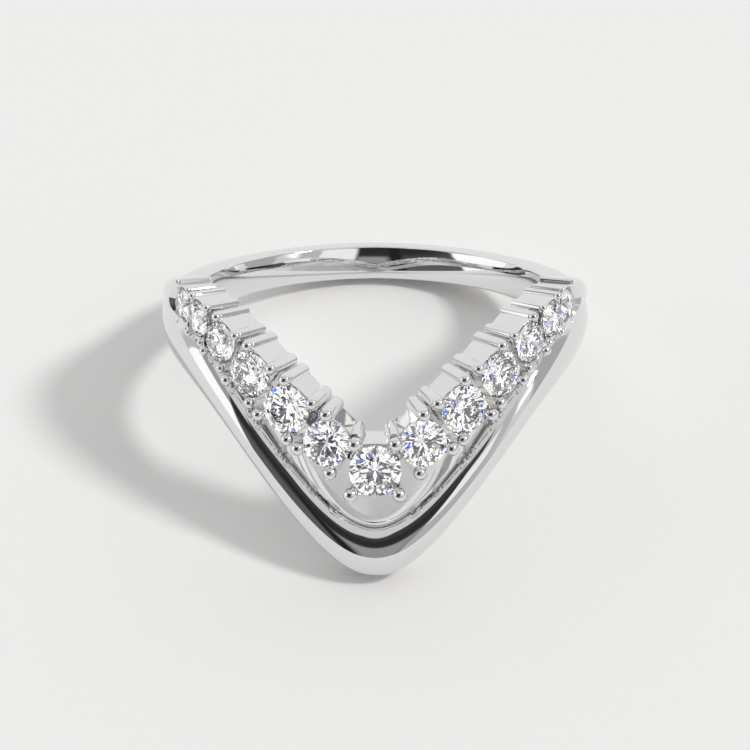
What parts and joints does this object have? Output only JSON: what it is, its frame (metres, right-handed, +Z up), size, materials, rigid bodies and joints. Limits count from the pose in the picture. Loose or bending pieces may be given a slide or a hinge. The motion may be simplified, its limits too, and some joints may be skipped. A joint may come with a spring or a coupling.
{
  "type": "chevron ring",
  "caption": "Polished white metal finger ring whose shank splits into a plain V band and a V row of graded round brilliants held by ball-tipped prongs.",
  "frame": {"origin": "on the table, under the middle of the ring's bounding box, with the ring leaning on the tip of its plain V and the back of its shank", "axes": "+Z up from the table, +Y from the tip of the V towards the back of the shank, +X across the ring"},
  "size_m": [0.0208, 0.0232, 0.01],
  "materials": {
    "white_gold": "mirror polish",
    "diamond": "faceted and polished"
  },
  "bodies": {
    "root": {"band": "white_gold", "stone_centre": "diamond", "stone_left_1": "diamond", "stone_left_2": "diamond", "stone_left_3": "diamond", "stone_left_4": "diamond", "stone_left_5": "diamond", "stone_left_6": "diamond", "stone_right_1": "diamond", "stone_right_2": "diamond", "stone_right_3": "diamond", "stone_right_4": "diamond", "stone_right_5": "diamond", "stone_right_6": "diamond"}
  },
  "joints": []
}
